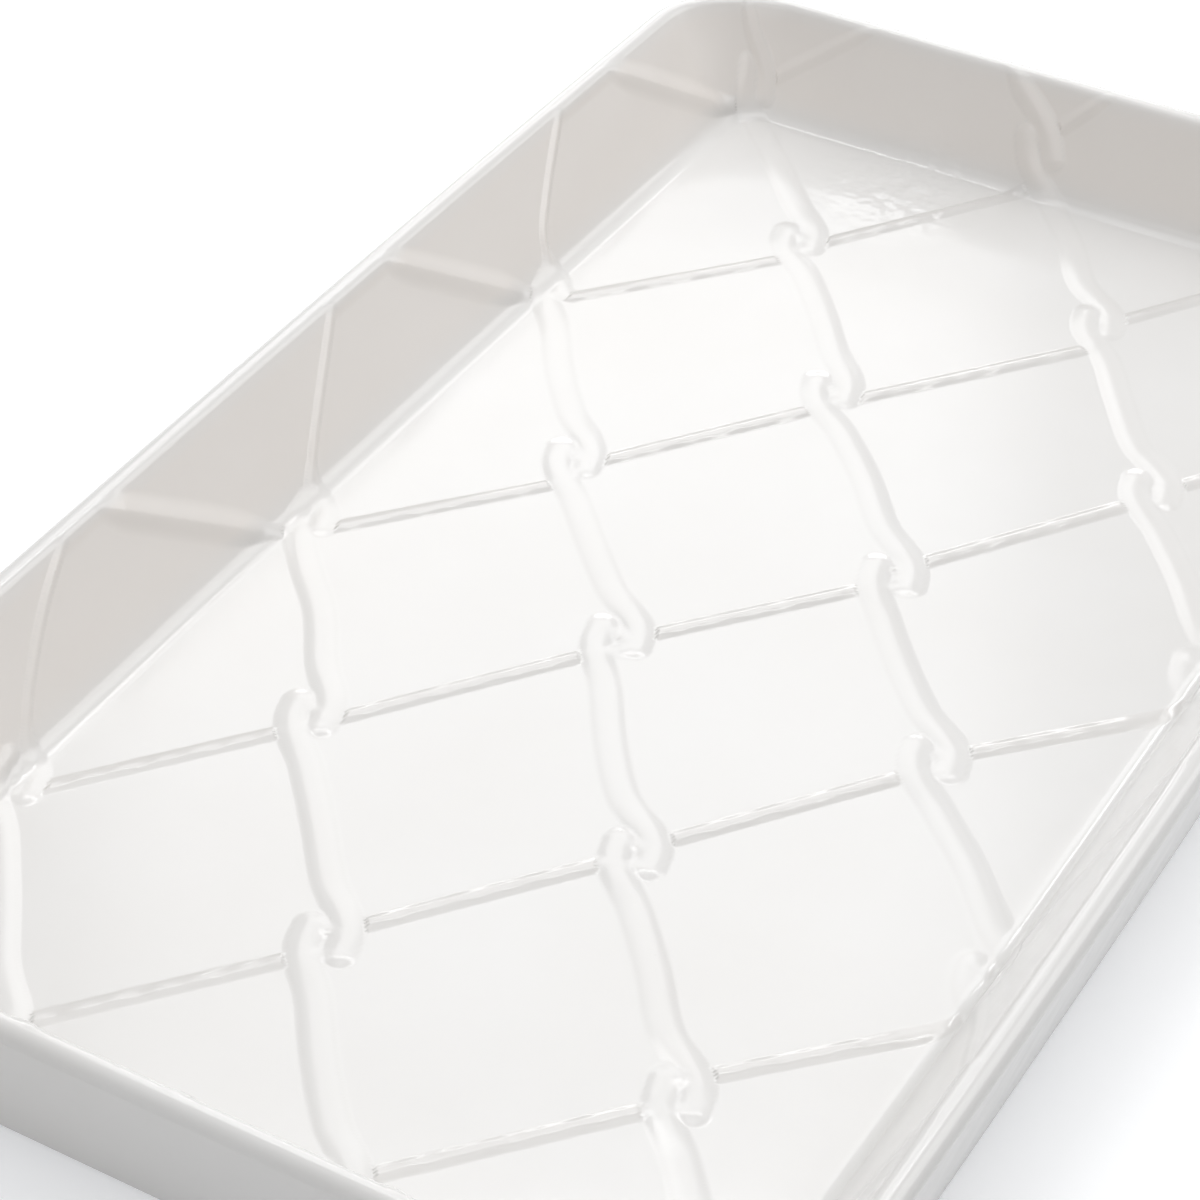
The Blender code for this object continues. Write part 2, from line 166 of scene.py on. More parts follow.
# How the ridges change along their runs
NODE_LENGTH = 0.0060
WALL_BLEND = 0.0040
RIM_TAPER = 0.0040
RIGHT_WALL_SHARE = 0.30
RIGHT_WALL_BLEND = 0.0080
UNEVENNESS = 0.25
SLOW_WAVE, FAST_WAVE = 610, 1340
WIRE_PHASE, STEP_PHASE, FAST_PHASE = 1.7, 2.9, 2.3

# Fillets along the ridges, the cut of the back runs beside the neighbours' front runs, and how the
# relief goes over into the rim
FRONT_FILLET = 0.00025
BACK_FILLET = 0.00020
WALL_FILLET = 0.00032
VALLEY_FILLET = 0.0002
FILLET_BLEND = 0.0006
CUT_DISTANCE = 0.0021
CUT_STEEPNESS = 1.8
CUT_ROUNDING = 0.00025
RIM_MERGE_POWER = 4

# Thin glaze with painted shade over the back runs, painted shade along the front runs' feet, and
# painted warm bounce light on the inner walls
THIN_GLAZE_SHADE_EDGE = 0.00015
FRONT_FOOT_SHADE_DEPTH = 0.00010
FRONT_FOOT_SHADE_SHARE = 0.30
BOUNCE_BLEND = 0.0040
BOUNCE_EDGE = 0.0015
BOUNCE_FADE = 0.0400

# Fineness of the relief's grid and of the body
GRID_STEP = 0.00035
PATH_STEP = 0.0007
RIDGE_REACH = 0.0050
NORMAL_STEP = 0.00004
FLOOR_STEPS_ACROSS = 26
FLOOR_STEPS_ALONG = 52
CORNER_STEPS = 24
INNER_SECTION_STEPS = (3, 12, 8, 7, 2)
RIM_ARC_STEPS = 10
FOOT_ARC_STEPS = 6

# How the wires' pieces close and dip: heights are over the floor and walls
SKIRT = 0.00005
DIP_SHARE = 0.5
DEEPEST = -0.0002
UNDERSIDE = -0.0004

NO_RIDGE_HEIGHT = -0.02
FAR_FROM_RIDGE = 0.02
TINY = 1e-9
TINY_AREA = 1e-15
MERGE_DIGITS = 8
RIM_EDGE_END = 4

RIM_HEIGHT = FLOOR_HEIGHT + WALL_RISE
HALF_WIDTH = FLOOR_WIDTH / 2
HALF_LENGTH = FLOOR_LENGTH / 2
CELL_WIDTH = 2 * FLOOR_WIDTH / HALF_CELLS_ACROSS
SIDE_SLANT = math.hypot(WALL_RISE, SIDE_WALL_RUN)
END_SLANT = math.hypot(WALL_RISE, END_WALL_RUN)
WALL_RUNS = (SIDE_WALL_RUN, END_WALL_RUN)
WIRE_COUNT = HALF_CELLS_ACROSS + 2
MIDDLE_X = HALF_WIDTH - FLOOR_CORNER_RADIUS
MIDDLE_Y = HALF_LENGTH - FLOOR_CORNER_RADIUS


# The tray's surface

def bowed(x, y):
    """Places after the long sides have bowed out, most at their middle."""
    half_width = HALF_WIDTH + SIDE_WALL_RUN + RIM_WIDTH
    half_length = HALF_LENGTH + END_WALL_RUN + RIM_WIDTH
    share = np.maximum(0, 1 - (y / half_length) ** 2)
    return x * (1 + SIDE_BOW / half_width * share), y


def wall_breaks(wall_run):
    """Distances past a wall's foot at which its section changes from one form to the next.

    They are the floor's margin, the crease's start and end, the start and end of the rim's inner
    edge, and the start of its outer edge.
    """
    slope = math.atan2(WALL_RISE, wall_run)
    slant = math.hypot(WALL_RISE, wall_run)
    crease = CREASE_RADII[wall_run] * math.tan(slope / 2)
    edge = RIM_INNER_RADIUS * math.tan(slope / 2)
    outer_turn = math.pi / 2 + math.atan2(OUTER_DRAFT, RIM_HEIGHT)
    outer_edge = RIM_OUTER_RADIUS * math.tan(outer_turn / 2)
    top = slant + RIM_WIDTH - outer_edge
    return np.array([-FLOOR_CORNER_RADIUS, -crease, crease, slant - edge, slant + edge, top])


def wall_section(beyond, wall_run):
    """How far out and up a wall's section is past its foot, and how far it has turned up there."""
    slope = math.atan2(WALL_RISE, wall_run)
    _, crease_start, crease_end, edge_start, edge_end, _ = wall_breaks(wall_run)
    slant = (edge_start + edge_end) / 2
    edge = edge_end - slant
    turned = slope * np.clip((beyond - crease_start) / (crease_end - crease_start), 0, 1)
    radius = CREASE_RADII[wall_run]
    out = np.where(beyond < crease_start, beyond, crease_start + radius * np.sin(turned))
    rise = radius * (1 - np.cos(turned))
    on_wall = beyond > crease_end
    out = np.where(on_wall, beyond * math.cos(slope), out)
    rise = np.where(on_wall, beyond * math.sin(slope), rise)
    left = slope * np.clip((edge_end - beyond) / (edge_end - edge_start), 0, 1)
    at_edge = beyond > edge_start
    out = np.where(at_edge, wall_run + edge - RIM_INNER_RADIUS * np.sin(left), out)
    rise = np.where(at_edge, WALL_RISE - RIM_INNER_RADIUS * (1 - np.cos(left)), rise)
    angle = np.where(at_edge, left, turned)
    out = np.where(beyond > edge_end, wall_run + beyond - slant, out)
    return out, rise, angle


def section_places(beyond, end_share):
    """Distances past the foot of a side and an end wall that one place in a corner stands for."""
    side, end = (wall_breaks(run) for run in WALL_RUNS)
    side_beyond = np.minimum(beyond, side[0])
    end_beyond = np.minimum(beyond, end[0])
    for k in range(len(side) - 1):
        low = side[k] * (1 - end_share) + end[k] * end_share
        high = side[k + 1] * (1 - end_share) + end[k + 1] * end_share
        share = (beyond - low) / (high - low)
        here = share > 0
        side_beyond = np.where(here, side[k] + (side[k + 1] - side[k]) * share, side_beyond)
        end_beyond = np.where(here, end[k] + (end[k + 1] - end[k]) * share, end_beyond)
    return side_beyond, end_beyond


def way_out(x, y):
    """The way from the floor's inner rectangle out to a place, across and along, and how far."""
    from_x = np.maximum(0, np.abs(x) - MIDDLE_X)
    from_y = np.maximum(0, np.abs(y) - MIDDLE_Y)
    distance = np.hypot(from_x, from_y)
    return from_x / np.maximum(distance, TINY), from_y / np.maximum(distance, TINY), distance


def on_surface(x, y, lift):
    """Places at a height over the floor and walls, from where they lie with the walls laid flat."""
    way_x, way_y, distance = way_out(x, y)
    end_share = way_y ** 2
    side_beyond, end_beyond = section_places(distance - FLOOR_CORNER_RADIUS, end_share)
    side_out, side_rise, side_angle = wall_section(side_beyond, SIDE_WALL_RUN)
    end_out, end_rise, end_angle = wall_section(end_beyond, END_WALL_RUN)
    reach_x = FLOOR_CORNER_RADIUS + side_out - np.sin(side_angle) * lift
    reach_y = FLOOR_CORNER_RADIUS + end_out - np.sin(end_angle) * lift
    flat_x = np.sign(x) * (np.minimum(np.abs(x), MIDDLE_X) + way_x * reach_x)
    flat_y = np.sign(y) * (np.minimum(np.abs(y), MIDDLE_Y) + way_y * reach_y)
    rise = side_rise * (1 - end_share) + end_rise * end_share
    raised = (np.cos(side_angle) * (1 - end_share) + np.cos(end_angle) * end_share) * lift
    room = np.maximum(WALL_RISE - rise, TINY)
    up = np.maximum(raised, TINY)
    power = RIM_MERGE_POWER
    merged = up * room / (up ** power + room ** power) ** (1 / power)
    rise = rise + np.where(raised > 0, merged, raised)
    flat_x, flat_y = bowed(flat_x, flat_y)
    return np.stack([flat_x, flat_y, FLOOR_HEIGHT + rise], axis=-1)


def past_rim_edge(x, y):
    """How far past the rounded inner edge of the rim a place is, with the walls laid flat."""
    _, way_y, distance = way_out(x, y)
    end_share = way_y ** 2
    side_edge, end_edge = (wall_breaks(run)[RIM_EDGE_END] for run in WALL_RUNS)
    return distance - FLOOR_CORNER_RADIUS - side_edge * (1 - end_share) - end_edge * end_share


def painted_bounce_share(x, y, height):
    """How much painted warm bounce light the inner side gets: on the left and far walls, not on the
    rim.
    """
    above_floor = np.clip((height - FLOOR_HEIGHT) / BOUNCE_BLEND, 0, 1)
    below_rim = np.clip((RIM_HEIGHT - height) / BOUNCE_EDGE, 0, 1)
    off_right_wall = np.clip((HALF_WIDTH - x) / BOUNCE_BLEND, 0, 1)
    off_near_wall = np.clip((HALF_LENGTH + y) / BOUNCE_FADE, 0, 1)
    return above_floor * below_rim * off_right_wall * off_near_wall


# The mesh of wires, laid flat

def is_right_turn(wire, half_step):
    """Whether a wire turns on its right at a half step, and goes on from there in a front run."""
    return (half_step + wire) % 2 == 0


def neighbour(wire, half_step):
    return wire + 1 if is_right_turn(wire, half_step) else wire - 1


def at_rim(wire, half_step):
    return not 0 <= neighbour(wire, half_step) < WIRE_COUNT


def turn_place(wire, half_step):
    """Middle of the crossing where a wire turns, or of its turn at the rim."""
    right = is_right_turn(wire, half_step)
    across = (wire if right else wire - 1) / 2
    along = half_step / 2
    stray_across, stray_along = STRAY_SHARES.get((along, across), (0, 0))
    x = (across + stray_across) * CELL_WIDTH - HALF_WIDTH
    y = (along - 1 + stray_along) * CELL_LENGTH - FAR_SHIFT
    if at_rim(wire, half_step):
        x = (1 if right else -1) * (HALF_WIDTH + SIDE_SLANT - RIM_TURN_DROP)
    return np.array([x, y])


def rim_end(wire, half_step, is_front):
    """Where a run reaches the rim, beside its turn there."""
    place = turn_place(wire, half_step)
    if wire == 0 and half_step in LEFT_RIM_TURNS:
        return np.array([place[0], LEFT_RIM_TURNS[half_step][0 if is_front else 1]])
    on_near_side = is_front == is_right_turn(wire, half_step - 1)
    return place + np.array([0, (-1 if on_near_side else 1) * RIM_TURN_LENGTH / 2])


def is_on_tray(wire, half_step):
    limit = HALF_LENGTH + END_SLANT
    if at_rim(wire, half_step):
        limit = HALF_LENGTH - FLOOR_CORNER_RADIUS
    return abs(turn_place(wire, half_step)[1]) < limit


def unit(vector):
    return vector / np.linalg.norm(vector)


def clamped(share):
    return min(1, max(0, share))


def eased(share):
    """A share that starts and ends slowly."""
    return share * share * (3 - 2 * share)


def blend(low, high, share):
    return tuple(a + (b - a) * share for a, b in zip(low, high))


def smooth_line(knots, values, count):
    """Even steps along the knots, with the values on a smooth curve through them."""
    knots, values = np.array(knots), np.array(values)
    slopes = np.gradient(values, knots)
    steps = np.linspace(knots[0], knots[-1], count)
    here = np.clip(np.searchsorted(knots, steps, side="right") - 1, 0, len(knots) - 2)
    span = knots[here + 1] - knots[here]
    t = (steps - knots[here]) / span
    low, high = values[here], values[here + 1]
    low_slope, high_slope = slopes[here] * span, slopes[here + 1] * span
    curve = (2 * t ** 3 - 3 * t ** 2 + 1) * low + (t ** 3 - 2 * t ** 2 + t) * low_slope
    curve += (3 * t ** 2 - 2 * t ** 3) * high + (t ** 3 - t ** 2) * high_slope
    return steps, curve


def line_points(start, end, knots, values):
    """Points at distances along the line from start to end and at distances to the left of it."""
    way = unit(end - start)
    left = np.array([-way[1], way[0]])
    count = max(2, int((knots[-1] - knots[0]) / PATH_STEP))
    steps, aside = smooth_line(knots, values, count)
    return [start + way * step + left * offset for step, offset in zip(steps, aside)]


def on_wall(ridge, side_ridge, end_ridge, point):
    """A ridge as it is at a point: it changes up a wall, and lies lowest by the right one."""
    past_side, past_end = abs(point[0]) - HALF_WIDTH, abs(point[1]) - HALF_LENGTH
    wall_ridge = side_ridge if past_side > past_end else end_ridge
    height, *form = blend(ridge, wall_ridge, clamped(max(past_side, past_end) / WALL_BLEND))
    by_right_wall = clamped(1 + (point[0] - HALF_WIDTH) / RIGHT_WALL_BLEND)
    return (height * (1 - (1 - RIGHT_WALL_SHARE) * by_right_wall), *form)


def faded(ridge, point):
    """A ridge as it is at a point: it sinks away towards the rim."""
    below_rim = clamped(-float(past_rim_edge(point[0], point[1])) / RIM_TAPER)
    return blend(FADED_RIDGE, ridge, eased(below_rim))


def uneven(wire, low_step, along):
    """How much lower or higher than usual a hand-pressed back run is, at a distance along it."""
    phase = WIRE_PHASE * wire + STEP_PHASE * low_step
    waves = math.sin(along * SLOW_WAVE + phase) + math.sin(along * FAST_WAVE + FAST_PHASE * phase)
    return 1 + UNEVENNESS / 2 * waves


def front_path(wire, low_step):
    """A front run, from its upper left end to its lower right one, each beside a neighbour's."""
    start, end = turn_place(wire, low_step + 1), turn_place(wire, low_step)
    start_at_rim, end_at_rim = at_rim(wire, low_step + 1), at_rim(wire, low_step)
    aside = list(FRONT_LINES.get((wire, low_step), USUAL_FRONT_LINE))
    if start_at_rim:
        start, aside[0] = rim_end(wire, low_step + 1, True), 0
    if end_at_rim:
        end, aside[-2:] = rim_end(wire, low_step, True), (0, 0)
    length = float(np.linalg.norm(end - start))
    knots = [length * k / (len(aside) - 1) for k in range(len(aside))]
    if not start_at_rim:
        knots, aside = [-END_REACH] + knots, [aside[0] + END_CURL] + aside
    if not end_at_rim:
        knots, aside = knots + [length + END_REACH], aside + [aside[-1] - END_CURL]
    points = line_points(start, end, knots, aside)
    sizes = []
    for k, point in enumerate(points):
        along = knots[0] + (knots[-1] - knots[0]) * k / (len(points) - 1)
        from_start = length if start_at_rim else along
        from_end = length if end_at_rim else length - along
        off_node = clamped((min(from_start, from_end) - NODE_LENGTH / 2) / NODE_LENGTH)
        ridge = blend(NODE_RIDGE, FRONT_RIDGE, eased(off_node))
        sizes.append(faded(on_wall(ridge, SIDE_FRONT_RIDGE, END_FRONT_RIDGE, point), point))
    return points, sizes


def back_path(wire, low_step):
    """A back run, between the neighbours' front runs that it passes under, or at the rim."""
    start, end = turn_place(wire, low_step), turn_place(wire, low_step + 1)
    first, last = BACK_LINES.get((wire, low_step), USUAL_BACK_LINE)
    low, high = BACK_START, BACK_END
    if at_rim(wire, low_step):
        start, low, first = rim_end(wire, low_step, False), 0, 0
    if at_rim(wire, low_step + 1):
        end, high, last = rim_end(wire, low_step + 1, False), 0, 0
    length = float(np.linalg.norm(end - start))
    points = line_points(start, end, [low, length - high], [first, last])
    sizes = []
    for k, point in enumerate(points):
        along = low + (length - high - low) * k / (len(points) - 1)
        height, *form = BACK_RIDGE
        ridge = (height * uneven(wire, low_step, along), *form)
        sizes.append(faded(on_wall(ridge, SIDE_BACK_RIDGE, END_BACK_RIDGE, point), point))
    return points, sizes


def turn_path(wire, half_step, runs):
    """What joins a wire's front and back run at a turn: along the rim, or under the neighbour."""
    ends = []
    for step in (half_step - 1, half_step):
        if step in runs:
            points = runs[step][0]
            is_front = is_right_turn(wire, step)
            meets_at_start = is_front == (step == half_step - 1)
            ends.append(points[0 if meets_at_start else -1])
    ridge = RIM_TURN_RIDGE if at_rim(wire, half_step) else UNDERPASS_RIDGE
    return ends, [ridge] * len(ends)


def wire_paths(wire):
    """The front runs, back runs and turns of one wire that lie on the tray."""
    steps = [s for s in range(FIRST_HALF_STEP, LAST_HALF_STEP + 1) if is_on_tray(wire, s)]
    first, last = steps[0], steps[-1]
    low = first if at_rim(wire, first) else first - 1
    high = last - 1 if at_rim(wire, last) else last
    runs = range(low, high + 1)
    fronts = {s: front_path(wire, s) for s in runs if is_right_turn(wire, s)}
    backs = {s: back_path(wire, s) for s in runs if not is_right_turn(wire, s)}
    turns = [turn_path(wire, s, {**fronts, **backs}) for s in steps]
    return list(fronts.values()), list(backs.values()), turns


# The relief as a height over the flat grid

GRID_HALF_X = HALF_WIDTH + SIDE_SLANT + RIM_WIDTH / 2
GRID_HALF_Y = HALF_LENGTH + END_SLANT + RIM_WIDTH / 2
GRID_X = np.arange(-GRID_HALF_X, GRID_HALF_X, GRID_STEP)
GRID_Y = np.arange(-GRID_HALF_Y, GRID_HALF_Y, GRID_STEP)
PATHS = [wire_paths(wire) for wire in range(WIRE_COUNT)]


def ridge_field(paths, shift):
    """Height of the ridges along some paths, and the distance from them, over the grid."""
    grid_x, grid_y = GRID_X + shift[0], GRID_Y + shift[1]
    height = np.full((len(grid_y), len(grid_x)), NO_RIDGE_HEIGHT)
    distance = np.full((len(grid_y), len(grid_x)), FAR_FROM_RIDGE)
    for points, sizes in paths:
        for a, b, size_a, size_b in zip(points, points[1:], sizes, sizes[1:]):
            low, high = np.minimum(a, b) - RIDGE_REACH, np.maximum(a, b) + RIDGE_REACH
            columns = slice(*np.searchsorted(grid_x, (low[0], high[0])))
            rows = slice(*np.searchsorted(grid_y, (low[1], high[1])))
            x, y = grid_x[None, columns], grid_y[rows, None]
            if x.size == 0 or y.size == 0:
                continue
            on = b - a
            share = np.clip(((x - a[0]) * on[0] + (y - a[1]) * on[1]) / (on @ on), 0, 1)
            apart = np.hypot(x - a[0] - share * on[0], y - a[1] - share * on[1])
            crest, half_width, power = (p + (q - p) * share for p, q in zip(size_a, size_b))
            ridge = crest - crest * (apart / half_width) ** power
            height[rows, columns] = np.maximum(height[rows, columns], ridge)
            distance[rows, columns] = np.minimum(distance[rows, columns], apart)
    return height, distance


def smooth_max(a, b, width):
    """The higher of two surfaces, with a fillet where they meet."""
    over = np.maximum(width - np.abs(a - b), 0)
    return np.maximum(a, b) + over * over / (4 * width)


def relief(shift=(0, 0)):
    """The relief over the grid moved by a shift.

    Gives the height field of each wire, cut and uncut, the height of the whole surface, the width
    of its fillets, and how much thin glaze and painted shade it has along the ridges.
    """
    fronts = [ridge_field(paths[0], shift) for paths in PATHS]
    wires, whole_wires, cut_backs = [], [], []
    for wire, (_, back_runs, turns) in enumerate(PATHS):
        back = ridge_field(back_runs, shift)[0]
        turn = ridge_field(turns, shift)[0]
        front = fronts[wire][0]
        cut = back
        for other in (wire - 1, wire + 1):
            if 0 <= other < WIRE_COUNT:
                face = CUT_STEEPNESS * (fronts[other][1] - CUT_DISTANCE)
                cut = -smooth_max(-cut, -face, CUT_ROUNDING)
        raised = smooth_max(front, turn, VALLEY_FILLET)
        wires.append(smooth_max(raised, cut, VALLEY_FILLET))
        whole_wires.append(np.maximum(raised, back))
        cut_backs.append(cut)
    front_all = np.max([front for front, _ in fronts], axis=0)
    back_all = np.max(cut_backs, axis=0)
    front_share = np.clip(0.5 + (front_all - back_all) / FILLET_BLEND, 0, 1)
    fillet = BACK_FILLET + (FRONT_FILLET - BACK_FILLET) * front_share
    x, y = np.abs(GRID_X)[None, :], np.abs(GRID_Y)[:, None]
    on_floor = np.clip(1 - np.maximum(x - HALF_WIDTH, y - HALF_LENGTH) / WALL_BLEND, 0, 1)
    below_rim = np.clip(-past_rim_edge(x, y) / RIM_TAPER, 0, 1)
    fillet = fillet + (WALL_FILLET - fillet) * (1 - on_floor) * below_rim
    together = wires[0]
    for field in wires[1:]:
        together = smooth_max(together, field, VALLEY_FILLET)
    # thin glaze and painted shade over the back runs on the floor
    thin_and_shade = np.clip(1 + back_all / THIN_GLAZE_SHADE_EDGE, 0, 1) * (1 - front_share) * on_floor
    # painted shade along the feet of the front runs, where they meet the floor and walls
    front_foot_shade = np.clip(1 - np.abs(front_all) / FRONT_FOOT_SHADE_DEPTH, 0, 1)
    thin_and_shade = np.maximum(thin_and_shade, front_foot_shade * FRONT_FOOT_SHADE_SHARE)
    return wires, whole_wires, smooth_max(together, 0, fillet), fillet, thin_and_shade


def relief_normals():
    """Ways out of the whole surface over the grid, from small steps to all four sides."""
    sides = []
    for shift in ((NORMAL_STEP, 0), (-NORMAL_STEP, 0), (0, NORMAL_STEP), (0, -NORMAL_STEP)):
        lift = relief(shift)[2]
        x, y = np.meshgrid(GRID_X + shift[0], GRID_Y + shift[1])
        sides.append(on_surface(x, y, lift))
    normal = np.cross(sides[0] - sides[1], sides[2] - sides[3])
    return normal / np.maximum(np.linalg.norm(normal, axis=-1, keepdims=True), TINY_AREA)


# Pieces

def give_values(piece, name, values):
    """Gives each point of a piece a value that its material reads by name."""
    layer = piece.data.attributes.new(name, "FLOAT", "POINT")
    layer.data.foreach_set("value", values)


def piece_from(name, vertices, faces, normals=None, known=None):
    """A smooth piece, with the normals given where they are known, and else the mesh's own."""
    mesh = bpy.data.meshes.new(name)
    mesh.from_pydata(vertices.tolist(), [], faces)
    mesh.validate()
    mesh.update()
    mesh.shade_smooth()
    if normals is not None:
        own = np.zeros(len(mesh.vertices) * 3)
        mesh.vertex_normals.foreach_get("vector", own)
        own = own.reshape(-1, 3)
        own[known] = normals[known]
        mesh.normals_split_custom_set_from_vertices(own.tolist())
    piece = bpy.data.objects.new(name, mesh)
    bpy.context.scene.collection.objects.link(piece)
    return piece


def border_edges(faces):
    """Edges that belong to one face only, in the direction that the face takes them."""
    edges = {}
    for face in faces:
        for p, q in zip(face, face[1:] + face[:1]):
            if (q, p) in edges:
                del edges[(q, p)]
            else:
                edges[(p, q)] = True
    return list(edges)


def wire_piece(name, field, whole_field, others, lift, fillet, thin_and_shade, normals):
    """One wire: the part of the whole surface that is its own, dipping under its neighbours'."""
    x, y = np.meshgrid(GRID_X, GRID_Y)
    past = past_rim_edge(x, y)
    shown = (whole_field > -(fillet + SKIRT)) & (past < 0)
    quads = shown[:-1, :-1] | shown[1:, :-1] | shown[:-1, 1:] | shown[1:, 1:]
    used = np.zeros(shown.shape, bool)
    used[:-1, :-1] |= quads
    used[1:, :-1] |= quads
    used[:-1, 1:] |= quads
    used[1:, 1:] |= quads
    sink = DIP_SHARE * np.maximum(0, others - field + SKIRT)
    sink = np.maximum(sink, DIP_SHARE * np.maximum(0, -(field + fillet + SKIRT)))
    top_lift = np.maximum(lift - sink, DEEPEST)
    top_lift = np.where(past > 0, np.minimum(top_lift, DEEPEST), top_lift)
    count = int(used.sum())
    number = np.full(used.shape, -1)
    number[used] = np.arange(count)
    top = on_surface(x[used], y[used], top_lift[used])
    under = on_surface(x[used], y[used], np.full(count, UNDERSIDE))
    rows, columns = np.nonzero(quads)
    a, b = number[rows, columns], number[rows, columns + 1]
    c, d = number[rows + 1, columns + 1], number[rows + 1, columns]
    top_faces = np.stack([a, b, c, d], axis=1)
    under_faces = top_faces[:, ::-1] + count
    side_faces = [(q, p, p + count, q + count) for p, q in border_edges(top_faces.tolist())]
    faces = top_faces.tolist() + under_faces.tolist() + side_faces
    vertices = np.concatenate([top, under])
    all_normals = np.concatenate([normals[used], np.zeros((count, 3))])
    known = np.concatenate([np.ones(count, bool), np.zeros(count, bool)])
    piece = piece_from(name, vertices, faces, all_normals, known)
    # thin glaze and painted shade along the ridges
    give_values(piece, "thin_glaze_and_shade", np.concatenate([thin_and_shade[used], np.zeros(count)]))
    # painted warm bounce light on the inner walls
    give_values(piece, "painted_warm_bounce", painted_bounce_share(*vertices.T))
    return piece


def corner_arc(before, corner, after, radius, steps):
    """The arc that rounds a corner of an outline."""
    back, on = unit(before - corner), unit(after - corner)
    half_angle = math.acos(float(np.clip(back @ on, -1, 1))) / 2
    middle = corner + unit(back + on) * radius / math.sin(half_angle)
    first = corner + back * radius / math.tan(half_angle) - middle
    last = corner + on * radius / math.tan(half_angle) - middle
    turn = math.pi - 2 * half_angle
    found = []
    for step in range(steps + 1):
        done = turn * step / steps
        way = first * math.sin(turn - done) + last * math.sin(done)
        found.append(middle + way / math.sin(turn))
    return found


def rounded_outline(corners):
    """An open outline with its inner corners rounded: each is a place, a radius and its steps."""
    points = [np.array(corners[0][0], float)]
    for before, here, after in zip(corners, corners[1:], corners[2:]):
        spots = [np.array(spot[0], float) for spot in (before, here, after)]
        points += corner_arc(*spots, here[1], here[2]) if here[1] else [spots[1]]
    points.append(np.array(corners[-1][0], float))
    return points


def outer_section(wall_run):
    """The tray's section from the top of the rim down its outer side to the recess under it."""
    rim_outer = wall_run + RIM_WIDTH
    foot_outer = rim_outer - OUTER_DRAFT
    foot_inner = foot_outer - FOOT_WIDTH
    recess_edge = foot_inner - RECESS_DRAFT
    return rounded_outline([
        ((wall_run + RIM_WIDTH / 4, RIM_HEIGHT), 0, 0),
        ((rim_outer, RIM_HEIGHT), RIM_OUTER_RADIUS, RIM_ARC_STEPS),
        ((rim_outer - OUTER_DRAFT / 3, RIM_HEIGHT * 2 / 3), 0, 0),
        ((rim_outer - OUTER_DRAFT * 2 / 3, RIM_HEIGHT / 3), 0, 0),
        ((foot_outer, 0), FOOT_EDGE_RADIUS, FOOT_ARC_STEPS),
        ((foot_inner, 0), FOOT_EDGE_RADIUS, FOOT_ARC_STEPS),
        ((recess_edge, RECESS_DEPTH), RECESS_EDGE_RADIUS, FOOT_ARC_STEPS),
        ((-FLOOR_CORNER_RADIUS / 2, RECESS_DEPTH), 0, 0),
        ((-FLOOR_CORNER_RADIUS, RECESS_DEPTH), 0, 0),
    ])[1:]


def inner_section(wall_run):
    """The tray's section from the floor's margin over the crease, wall and rim's inner edge."""
    breaks = wall_breaks(wall_run)
    found = []
    for low, high, steps in zip(breaks, breaks[1:], INNER_SECTION_STEPS):
        for step in range(steps):
            out, rise, _ = wall_section(np.array(low + (high - low) * step / steps), wall_run)
            found.append(np.array([float(out), FLOOR_HEIGHT + float(rise)]))
    return found


def outline_bases():
    """Round the tray once: the place on the floor's inner rectangle and the way out from it."""
    found = []
    for quarter, (sign_x, sign_y) in enumerate(((1, 1), (-1, 1), (-1, -1), (1, -1))):
        for step in range(CORNER_STEPS + 1):
            angle = math.pi / 2 * (quarter + step / CORNER_STEPS)
            found.append((sign_x * MIDDLE_X, sign_y * MIDDLE_Y, math.cos(angle), math.sin(angle)))
        long_way = quarter % 2 == 1
        steps = FLOOR_STEPS_ALONG if long_way else FLOOR_STEPS_ACROSS
        angle = math.pi / 2 * (quarter + 1)
        for step in range(1, steps):
            share = 1 - 2 * step / steps
            x = sign_x * MIDDLE_X * (1 if long_way else share)
            y = sign_y * MIDDLE_Y * (share if long_way else 1)
            found.append((x, y, math.cos(angle), math.sin(angle)))
    return np.array(found)


def body_rings():
    """Rings of places from the floor's margin over the rim to the recess; how many are inside."""
    bases = outline_bases()
    inner = list(zip(*(inner_section(run) for run in WALL_RUNS)))
    outer = list(zip(*(outer_section(run) for run in WALL_RUNS)))
    end_share = bases[:, 3] ** 2
    rings = []
    for side_point, end_point in inner + outer:
        x = bases[:, 0] + bases[:, 2] * (FLOOR_CORNER_RADIUS + side_point[0])
        y = bases[:, 1] + bases[:, 3] * (FLOOR_CORNER_RADIUS + end_point[0])
        z = side_point[1] * (1 - end_share) + end_point[1] * end_share
        rings.append(np.stack([*bowed(x, y), z], axis=1))
    return rings, len(inner)


def flat_rows(height):
    """Rows of places over the floor's inner rectangle, at a height."""
    rows = []
    for row in range(FLOOR_STEPS_ALONG + 1):
        y = MIDDLE_Y * (1 - 2 * row / FLOOR_STEPS_ALONG)
        line = []
        for column in range(FLOOR_STEPS_ACROSS + 1):
            x = MIDDLE_X * (1 - 2 * column / FLOOR_STEPS_ACROSS)
            flat_x, flat_y = bowed(np.array(x), np.array(y))
            line.append((float(flat_x), float(flat_y), height))
        rows.append(line)
    return rows


